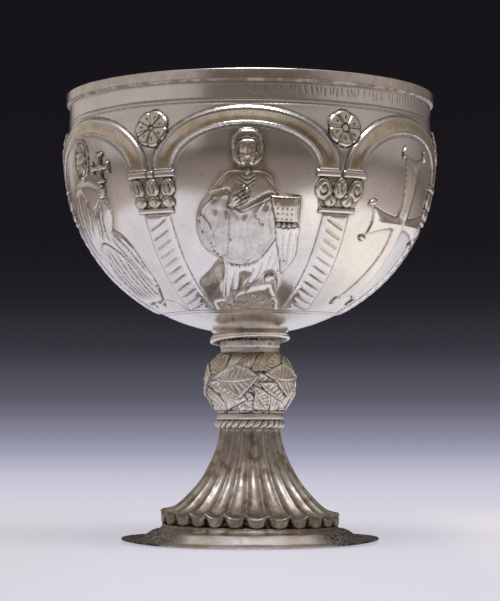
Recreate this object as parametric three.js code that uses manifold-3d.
// A silver chalice: a deep hammered bowl with a chased arcade, on a bent collar, a leafy knop,
// a cabled ring and a fluted trumpet foot with a flat flange. Millimetres, +Z up.
// The origin is the centre of the underside, and the front of the cup faces -Y.
import * as THREE from 'three';
import { mergeVertices } from 'three/addons/utils/BufferGeometryUtils.js';
import Module from 'manifold-3d';

const wasm = await Module();
wasm.setup();

// Heights of the stacked pieces, from the table up
const footHeight = 42.6;
const ringHeight = 5.9;
const knopHeight = 22.8;
const neckHeight = 8.2;
const bowlHeight = 88.5;

// Bowl
const wall = 1.4;
const lipRadius = 69.5;
const lipHeight = 3.6;
const lipSlope = 0.8;
const bandRadius = 68.4;
const bandBottom = 10.4;
const bellyRadius = 70.2;
const bellyDepth = 22;
const bellyRoundness = 2.05;
const bowlFacets = 36;

// Collar under the bowl
const collarRadius = 15.2;
const collarHeight = 4;
const collarRoll = 1.1;
const collarWaist = 0.5;
const collarRiseFront = 1.3;
const collarRiseRight = 0.7;
const clearance = 0.3;

// Knop
const neckRadius = 11.4;
const knopRadius = 16.7;
const knopWall = 1.5;
const knopFacets = 18;
const leaves = 6;
const leafLength = 17;
const leafWidth = 10.5;
const leafLift = 1.2;
const leafBase = { level: 0.3, lean: 0.5, start: 8 };
const leafCrown = { level: 0.66, lean: -0.35, start: -28 };

// Cabled ring
const ringRadius = 12.4;
const ringBore = 8.2;
const cableRadius = 1.65;
const cableStrands = 28;
const cableInset = 0.7;
const strandDepth = 0.35;

// Foot
const footNeckRadius = 11.3;
const footWall = 1.4;
const flutes = 26;
const fluteDepth = 1.3;
const crestRadius = 33.9;
const crestHeight = 11.9;
const tongueHeight = 4.4;
const tongueInset = 0.6;
const notchDepth = 1.1;
const crestLean = 0.8;
const creaseRadius = 35;
const creaseHeight = 4.5;
const domeHeight = 3.6;
const domeRadius = 41.4;
const flangeRadius = 48.3;
const flangeThickness = 0.9;
const seatWidth = 3;
const flangeCurl = 1;
const flangeUndercut = 0.2;

// Chased arcade. The columns stand at these degrees from the front, laid out by eye.
const columnTurns = [-88, -30.5, 28, 82.5, 145.5, 209];
const sink = 0.8;
const archLift = 1;
const shaftLift = 1.1;
const capitalLift = 1.4;
const rosetteRadius = 6.8;
const figureLift = 1.5;
const crossLift = 1.2;

const ringBottom = footHeight;
const knopBottom = ringBottom + ringHeight;
const knopTop = knopBottom + knopHeight;
const bowlBottom = knopTop + neckHeight;
const rimHeight = bowlBottom + bowlHeight;

const between = (low, high, share) => low + (high - low) * share;

// A closed mesh as a solid, and back
function solid(geometry) {
  const bare = geometry.clone();
  bare.deleteAttribute('normal');
  bare.deleteAttribute('uv');
  const merged = mergeVertices(bare, 1e-4);
  const corners = merged.index.array;
  const kept = [];
  for (let i = 0; i < corners.length; i += 3) {
    const [a, b, c] = [corners[i], corners[i + 1], corners[i + 2]];
    if (a !== b && b !== c && c !== a) kept.push(a, b, c);
  }
  return new wasm.Manifold(new wasm.Mesh({
    numProp: 3,
    vertProperties: new Float32Array(merged.attributes.position.array),
    triVerts: new Uint32Array(kept),
  }));
}

function geometryOf(body) {
  const mesh = body.getMesh();
  const geometry = new THREE.BufferGeometry();
  geometry.setAttribute('position', new THREE.BufferAttribute(mesh.vertProperties, 3));
  geometry.setIndex(new THREE.BufferAttribute(mesh.triVerts, 1));
  geometry.computeVertexNormals();
  return geometry;
}

// Turns an outline of [radius, height] corners, drawn from the axis outwards and up, about the
// vertical axis. reshape moves each corner: it gets the angle from the front, the facet's
// number, the corner's number and its radius and height.
function turned(outline, facets, reshape = (angle, facet, corner, radius, height) => [radius, height]) {
  const points = outline.map(([radius, height]) => new THREE.Vector2(radius, height));
  const geometry = new THREE.LatheGeometry(points, facets);
  const position = geometry.attributes.position;
  for (let i = 0; i < position.count; i += 1) {
    const corner = i % outline.length;
    const facet = Math.floor(i / outline.length) % facets;
    const angle = (facet / facets) * 2 * Math.PI;
    const [radius, height] = reshape(angle, facet, corner, ...outline[corner]);
    position.setXYZ(i, radius * Math.sin(angle), -radius * Math.cos(angle), height);
  }
  return geometry;
}

// The outline moved inwards by a wall's thickness, square to its own slope
function inset(outline, thickness) {
  return outline.map(([radius, height], i) => {
    const [r0, h0] = outline[Math.max(i - 1, 0)];
    const [r1, h1] = outline[Math.min(i + 1, outline.length - 1)];
    const length = Math.hypot(r1 - r0, h1 - h0);
    return [radius - (thickness * (h1 - h0)) / length, height + (thickness * (r1 - r0)) / length];
  });
}

// Straight-line reading of a table of [position, value, value...] rows
function readTable(rows, at) {
  let i = 1;
  while (i < rows.length - 1 && rows[i][0] < at) i += 1;
  const share = (at - rows[i - 1][0]) / (rows[i][0] - rows[i - 1][0]);
  return rows[i].slice(1).map((value, k) => between(rows[i - 1][k + 1], value, share));
}

// Bends flat work, x to the right, y up and z proud, onto a turned surface. place(x, y) says
// where on it: the turn from the front, the radius and height there, and its outward slope.
function laid(geometry, place) {
  const position = geometry.attributes.position;
  for (let i = 0; i < position.count; i += 1) {
    const { turn, radius, height, out, up } = place(position.getX(i), position.getY(i));
    const reach = radius + position.getZ(i) * out;
    const level = height + position.getZ(i) * up;
    position.setXYZ(i, reach * Math.sin(turn), -reach * Math.cos(turn), level);
  }
  return solid(geometry);
}

// Bowl outline, from the seat on the collar up to the band under the lip
const bellyHeight = rimHeight - bellyDepth;
const seatShare = 1 - (collarRadius / bellyRadius) ** bellyRoundness;
const bellyReach = (bellyHeight - bowlBottom) / seatShare ** (1 / bellyRoundness);

function bellyOutline(steps) {
  const outline = [];
  const lowest = Math.acos(collarRadius / bellyRadius);
  for (let i = 0; i < steps; i += 1) {
    const radius = bellyRadius * Math.cos(lowest * (1 - i / steps));
    const depth = (1 - (radius / bellyRadius) ** bellyRoundness) ** (1 / bellyRoundness);
    outline.push([radius, bellyHeight - bellyReach * depth]);
  }
  const bandHeight = rimHeight - bandBottom;
  for (const rise of [0, 0.5, 1]) {
    const ease = (1 - Math.cos(Math.PI * rise)) / 2;
    outline.push([between(bellyRadius, bandRadius, ease), between(bellyHeight, bandHeight, rise)]);
  }
  return outline;
}

const lipOutline = [
  [bandRadius, rimHeight - lipHeight - lipSlope],
  [lipRadius, rimHeight - lipHeight],
  [lipRadius, rimHeight],
];

// The wall's line from the rim down: [how far down it, radius, height]
const wallLine = [];
for (const [radius, height] of [...bellyOutline(60), ...lipOutline].reverse()) {
  const [drop, r0, h0] = wallLine[wallLine.length - 1] ?? [0, radius, height];
  wallLine.push([drop + Math.hypot(radius - r0, height - h0), radius, height]);
}

// The carving is drawn in millimetres on a wall of this length with bays of this width, and
// stretched to the real ones
const drawnLength = 116.2;
const drawnBay = 71.7;

// Presses flat work onto the bowl: y = 0 is the rim, x = 0 is at the angle middle, and span is
// the angle of the bay there. Tapered work narrows with the bowl below, and other work keeps
// its width.
function pressed(geometry, middle, span, tapered) {
  const lengthwise = wallLine[wallLine.length - 1][0] / drawnLength;
  const widthwise = (span * bellyRadius) / drawnBay;
  const step = 0.5;
  return laid(geometry, (x, y) => {
    const [radius, height] = readTable(wallLine, -y * lengthwise);
    const [above, level] = readTable(wallLine, -y * lengthwise - step);
    const [out, up] = [(level - height) / step, (radius - above) / step];
    const girth = tapered ? bellyRadius : radius;
    return { turn: middle + (x * widthwise) / girth, radius, height, out, up };
  });
}

// A chased panel in the flat: shape(u, v, column, row) gives [x, drop, lift] of each grid point.
// Its back lies inside the wall, and a lift of edge ends it just under the surface.
const edge = -sink / 2;
function panel(columns, rows, shape) {
  const geometry = new THREE.BoxGeometry(1, 1, 1, columns, rows, 1);
  const position = geometry.attributes.position;
  for (let i = 0; i < position.count; i += 1) {
    const [u, v] = [position.getX(i) + 0.5, 0.5 - position.getY(i)];
    const [x, drop, lift] = shape(u, v, Math.round(u * columns), Math.round(v * rows));
    position.setXYZ(i, x, -drop, position.getZ(i) > 0 ? lift : -sink);
  }
  return geometry;
}

// Raised half-round band
function arch() {
  const spring = 35.5;
  const inner = { half: 26.8, rise: 15 };
  const outer = { half: 34.4, rise: 21.8 };
  const section = [[-0.08, edge], [0.08, archLift], [0.9, archLift], [1.04, edge]];
  return panel(section.length - 1, 7, (u, v, column) => {
    const [share, lift] = section[column];
    const swing = Math.PI * v;
    const half = between(inner.half, outer.half, share);
    const rise = between(inner.rise, outer.rise, share);
    return [-half * Math.cos(swing), spring - rise * Math.sin(swing), lift];
  });
}

// Column: an abacus, two tiers of leaves on the bell of the capital, a necking and a shaft
// swelling and thinning as its strokes wind round it. Rows are [drop, half width, lift].
function column() {
  const rows = [
    [34.8, 9.8, edge], [35.4, 9.8, capitalLift], [38.2, 9.2, capitalLift], [39.4, 8, 0.6],
    [42.6, 8.6, capitalLift], [44.2, 7.2, 0.7], [47.6, 7.2, capitalLift], [50, 5.2, 0.7],
  ];
  const ribs = 3;
  const shaft = { top: 52, bottom: 91, half: 5.3 };
  for (let i = 0; i <= ribs; i += 1) {
    rows.push([between(shaft.top, shaft.bottom, i / ribs), shaft.half, shaftLift * (i % 2 ? 0.75 : 1.15)]);
  }
  const stops = [-1.08, -0.75, 0.75, 1.08];
  return panel(stops.length - 1, rows.length - 1, (u, v, across, row) => {
    const [drop, half, lift] = rows[row];
    const side = across === 0 || across === stops.length - 1;
    return [half * stops[across], drop, side ? edge : lift];
  });
}

// Cone in the flat whose foot lies inside the wall: shape(angle) gives the reach of its visible
// outline at each side
function cone(x, drop, lift, sides, shape) {
  const geometry = new THREE.ConeGeometry(1, 1, sides, 1);
  geometry.rotateX(Math.PI / 2);
  const position = geometry.attributes.position;
  for (let i = 0; i < position.count; i += 1) {
    const [a, b, top] = [position.getX(i), position.getY(i), position.getZ(i) > 0];
    const reach = shape(Math.atan2(b, a)) * (1 + sink / lift);
    position.setXYZ(i, x + a * reach, b * reach - drop, top ? lift : -sink);
  }
  return geometry;
}

function rosette() {
  const petals = 6;
  const drop = 20.8;
  return cone(0, drop, 1.4, petals * 2, (angle) => {
    const petal = Math.round((angle / Math.PI) * petals) % 2 ? 0.84 : 1;
    return rosetteRadius * petal;
  });
}

function slab(x, drop, width, height, lift) {
  const geometry = new THREE.BoxGeometry(width, height, lift + sink);
  geometry.translate(x, -drop, (lift - sink) / 2);
  return geometry;
}

// Raised line through [x, drop] points, such as a fold or an arm
function fold(points, width, lift) {
  const last = points.length - 1;
  return panel(2, last, (u, v, across, i) => {
    const [x, drop] = points[i];
    const [[x0, drop0], [x1, drop1]] = [points[Math.max(i - 1, 0)], points[Math.min(i + 1, last)]];
    const length = Math.hypot(x1 - x0, drop1 - drop0);
    const side = (u - 0.5) * width;
    const tip = i === 0 || i === last;
    const [right, down] = [(drop1 - drop0) / length, (x0 - x1) / length];
    return [x + side * right, drop + side * down, across === 1 && !tip ? lift : edge];
  });
}

// Standing draped figure from the head to the ground, as one raised form. Rows are
// [drop, left, right, lift, depth of the folds].
function figure(rows, folds, lean) {
  const across = 5;
  return panel(across, rows.length - 1, (u, v, line, row) => {
    const [drop, left, right, lift, depth] = rows[row];
    const x = between(left, right, u);
    if (line === 0 || line === across || row === 0) return [x, drop, edge];
    const round = 1 - 0.45 * (2 * u - 1) ** 2;
    const wave = Math.cos(Math.PI * folds * (u + lean * v));
    return [x, drop, figureLift * (lift * round + depth * wave)];
  });
}

function bookBearer() {
  const rows = [
    [21.6, -3, 3, 0, 0], [24.6, -6, 5.8, 1.4, 0], [32, -6.2, 5.6, 1.7, 0], [37.5, -4.4, 4.2, 1.1, 0], [41.5, -12, 9, 1, 0.1], [50, -20, 13, 1.1, 0.25], [61, -20, 14, 1.1, 0.25],
    [67, -12, 15, 1, 0.25], [78, -10, 15, 1, 0.25], [88.5, -11.5, 11.5, 0.9, 0.2], [91, -14, 15.5, 0.7, 0],
    [97.5, -17, 19, 0.3, 0],
  ];
  return [
    figure(rows, 5, 0.7),
    slab(14.4, 50.2, 9.2, 9.8, 2.6),
    fold([[-16, 62], [-12, 51], [0, 44]], 6, 2.9),
    fold([[9, 44], [1, 56], [-15, 66]], 5, 2.8),
  ];
}

function crossBearer() {
  const rows = [
    [20.6, -3.4, 1.8, 0, 0], [24, -6.2, 4.6, 1.4, 0], [32, -6, 4.2, 1.7, 0], [37, -4.4, 3, 1.1, 0], [42, -13.5, 9.5, 1, 0.1], [52, -15.5, 12, 1.1, 0.25], [62, -13, 9, 1.1, 0.25],
    [77, -10, 7.5, 1, 0.25], [89, -10.5, 7.5, 0.9, 0.2], [91, -13, 11, 0.7, 0], [97, -15, 14, 0.3, 0],
  ];
  const smallCross = { x: 12, drop: 32.8, reach: 5.8 };
  return [
    figure(rows, 5, -0.4),
    cone(-0.8, 28.8, 0.8, 10, () => 8.4),
    slab(smallCross.x, smallCross.drop, 1.8, smallCross.reach * 2, 1.3),
    slab(smallCross.x, smallCross.drop - 0.4, smallCross.reach * 1.7, 1.8, 1.2),
    fold([[-12, 56], [-3, 49], [12, 40]], 6, 2.9),
  ];
}

// Cross with arms that flare to the ends, where drop-shaped serifs widen them
function tallCross() {
  const centre = { x: 4.3, drop: 52.8 };
  const serif = 2.4;
  const upright = { throat: 4.2 };
  const beam = { throat: 2.5, end: 5.4 };
  const arms = [
    { right: 1, up: 0, length: 22.5, ...beam }, { right: -1, up: 0, length: 21.8, ...beam },
    { right: 0, up: 1, length: 24.6, end: 6.6, ...upright }, { right: 0, up: -1, length: 35.4, end: 10.6, ...upright },
  ];
  return arms.map(({ right, up, length, throat, end }) => {
    const rows = [[1, end + serif], [0.88, end], [0.4, throat], [0, throat]];
    return panel(2, rows.length - 1, (u, v, across, row) => {
      const [share, half] = rows[row];
      const [side, along] = [(u * 2 - 1) * half, length * share];
      const lift = across === 1 ? crossLift : edge;
      return [centre.x + side * up + along * right, centre.drop - along * up + side * right, lift];
    });
  });
}

function bowl() {
  const outside = bellyOutline(8);
  const inside = inset(bellyOutline(4), wall).slice(1).reverse();
  const rimInside = [bandRadius - wall, rimHeight];
  const floor = [[collarRadius - wall, bowlBottom + wall], [0, bowlBottom + wall]];
  const outline = [[0, bowlBottom], ...outside, ...lipOutline, rimInside, ...inside, ...floor];
  const solids = [solid(turned(outline, bowlFacets))];
  const scenes = [crossBearer, bookBearer, tallCross];
  columnTurns.forEach((turn, bay) => {
    const next = bay + 1 < columnTurns.length ? columnTurns[bay + 1] : columnTurns[0] + 360;
    const [start, end] = [turn, next].map(THREE.MathUtils.degToRad);
    const span = end - start;
    const scene = [arch(), ...scenes[bay % scenes.length]()];
    solids.push(...scene.map((piece) => pressed(piece, (start + end) / 2, span, true)));
    solids.push(...[column(), rosette()].map((piece) => pressed(piece, start, span, false)));
  });
  return geometryOf(wasm.Manifold.union(solids));
}

// Short upright band whose rolled lower edge has been bent out of level
function collar() {
  const bore = neckRadius + clearance;
  const [top, bottom] = [bowlBottom, bowlBottom - collarHeight];
  const outline = [
    [bore, bottom], [collarRadius - collarRoll, bottom - collarRoll * 0.4], [collarRadius, bottom],
    [collarRadius, bottom + collarRoll * 0.8], [collarRadius - collarWaist, bottom + collarRoll * 1.4],
    [collarRadius, top], [bore, top], [bore, bottom],
  ];
  return turned(outline, 20, (angle, facet, corner, radius, height) => {
    const bent = (top - height) / collarHeight;
    const lift = collarRiseFront * Math.cos(angle) + collarRiseRight * Math.sin(angle);
    return [radius, height + lift * bent];
  });
}

// The knop's outline: how far up it each corner is, and how far inside its widest radius
const knopShares = [[0.17, 1.8], [0.36, 0], [0.62, 0], [0.82, 1.6]];

// Hollow knop under overlapping leaves, drawn in to a neck that carries the bowl
function knop() {
  const level = (share) => between(knopBottom, knopTop, share);
  const belly = knopShares.map(([share, inward]) => [knopRadius - inward, level(share)]);
  const outline = [[ringRadius, knopBottom], ...belly, [neckRadius, knopTop], [neckRadius, bowlBottom]];
  const lining = outline.filter((corner, i) => i !== 1 && i !== belly.length);
  const inside = lining.map(([radius, height]) => [radius - knopWall, height]).reverse();
  const solids = [solid(turned([...outline, ...inside, outline[0]], knopFacets))];
  const surface = outline.map(([radius, height]) => [height, radius]);
  for (const tier of [leafBase, leafCrown]) {
    for (let i = 0; i < leaves; i += 1) {
      const angle = THREE.MathUtils.degToRad(tier.start + (i * 360) / leaves);
      solids.push(laid(leaf(level(tier.level), tier.lean), (x, y) => {
        const [radius] = readTable(surface, y);
        return { turn: angle + x / knopRadius, radius, height: y, out: 1, up: 0 };
      }));
    }
  }
  return geometryOf(wasm.Manifold.union(solids));
}

// Pointed leaf with a raised rib, in the flat, leaning by an angle
function leaf(middle, lean) {
  const widths = [0.08, 1, 0.85, 0.08];
  const last = widths.length - 1;
  return panel(2, last, (u, v, across, row) => {
    const along = (v - 0.5) * leafLength;
    const side = (u - 0.5) * leafWidth * widths[row];
    const x = along * Math.cos(lean) - side * Math.sin(lean);
    const y = middle + along * Math.sin(lean) + side * Math.cos(lean);
    const rib = across === 1 && row !== 0 && row !== last;
    return [x, -y, rib ? leafLift : edge];
  });
}

// Plain band above a cable of twisted strands
function cabledRing() {
  const middle = ringBottom + cableRadius;
  const cableBulge = cableRadius * 0.8;
  const sides = 4;
  const cable = Array.from({ length: sides }, (_, i) => {
    const swing = Math.PI * (i / (sides - 1) - 0.5);
    return [ringRadius - cableInset + cableBulge * Math.cos(swing), middle + cableRadius * Math.sin(swing)];
  });
  const outline = [[ringBore, ringBottom], ...cable, [ringRadius, knopBottom],
    [ringBore, knopBottom], [ringBore, ringBottom]];
  return turned(outline, cableStrands * 2, (angle, facet, corner, radius, height) => {
    const strand = Math.cos(cableStrands * angle + Math.PI * (corner - 2));
    const onCable = corner > 1 && corner < sides;
    return [radius + (onCable ? strandDepth * strand : 0), height];
  });
}

// The trumpet's slope from the crest up to the neck, as shares of the way in and up
const slopeShares = [[0, 0], [0.24, 0.037], [0.6, 0.3], [0.88, 0.68], [1, 1]];
const slope = slopeShares.map(([inward, rise]) => [
  between(crestRadius, footNeckRadius, inward), between(crestHeight, footHeight, rise),
]);

// How a point of the slope sinks in the middle of a flute: down at the crest, in at the neck
function sunken([radius, height], along) {
  const depth = fluteDepth * (1 - 0.7 * along);
  return [radius - depth * along, height - depth * (1 - along)];
}

const tongueRadius = crestRadius - tongueInset;
const tongueFoot = crestHeight - tongueHeight;

// The bell has been pushed over a little: its crest stands lower at the right than at the left,
// and neither the neck nor the crease below it has moved
const leanShares = [[creaseHeight, 0], [tongueFoot, 1], [crestHeight, 1], [footHeight, 0]];
function leaned(angle, radius, height) {
  const [share] = readTable(leanShares, Math.max(height, creaseHeight));
  return height - (crestLean * share * radius * Math.sin(angle)) / crestRadius;
}

// Fluted trumpet whose flutes end in a scalloped crest and turn down as tongues, with a notch
// under each ridge
function flutedBell() {
  const below = creaseHeight - flangeThickness;
  const skirt = [[0, below], [creaseRadius, below], [creaseRadius, creaseHeight], [tongueRadius, tongueFoot]];
  const outline = [...skirt, ...slope, [0, footHeight]];
  return turned(outline, flutes * 3, (angle, facet, corner, radius, height) => {
    const ridge = facet % 3 === 0;
    const step = corner - skirt.length;
    if (step < -1 || step === slope.length) return [radius, height];
    if (step === -1) return [radius - (ridge ? notchDepth : 0), leaned(angle, radius, height)];
    const [reach, level] = ridge ? [radius, height] : sunken([radius, height], step / (slope.length - 1));
    return [reach, leaned(angle, reach, level)];
  });
}

// Domed base and thin flange, bent up a little at both sides
const shoulder = [between(creaseRadius, domeRadius, 0.6), domeHeight];
function base() {
  const outline = [
    [0, 0], [domeRadius + seatWidth / 2, 0], [flangeRadius, flangeUndercut], [flangeRadius, flangeThickness],
    [domeRadius, flangeThickness], shoulder, [creaseRadius, creaseHeight], [0, creaseHeight],
  ];
  return turned(outline, 40, (angle, facet, corner, radius, height) => {
    const rim = corner === 2 || corner === 3;
    const curl = (flangeCurl * (1 - Math.cos(2 * angle))) / 2;
    return [radius, height + (rim ? curl : 0)];
  });
}

function foot() {
  const [seatInside, beyond] = [domeRadius - seatWidth / 2, 1];
  const lining = inset(slope.map((point, i) => sunken(point, i / (slope.length - 1))), footWall);
  const hollow = turned([
    [0, -beyond], [seatInside, -beyond], [seatInside, 0],
    [shoulder[0] - footWall / 2, domeHeight - footWall], [creaseRadius - footWall, creaseHeight - footWall],
    [tongueRadius - notchDepth - footWall, tongueFoot], ...lining.slice(1),
    [lining[lining.length - 1][0], footHeight + beyond], [0, footHeight + beyond],
  ], 20, (angle, facet, corner, radius, height) => {
    const level = height > footHeight ? height : leaned(angle, radius, height);
    return [radius, level];
  });
  return geometryOf(solid(flutedBell()).add(solid(base())).subtract(solid(hollow)));
}

const silver = { color: 0xc9c4ba, roughness: 0.28, metalness: 1 };
const pieces = { foot, cabled_ring: cabledRing, knop, collar, bowl };
const chalice = new THREE.Group();
for (const [name, make] of Object.entries(pieces)) {
  const mesh = new THREE.Mesh(make(), new THREE.MeshStandardMaterial(silver));
  mesh.name = name;
  chalice.add(mesh);
}

export default chalice;
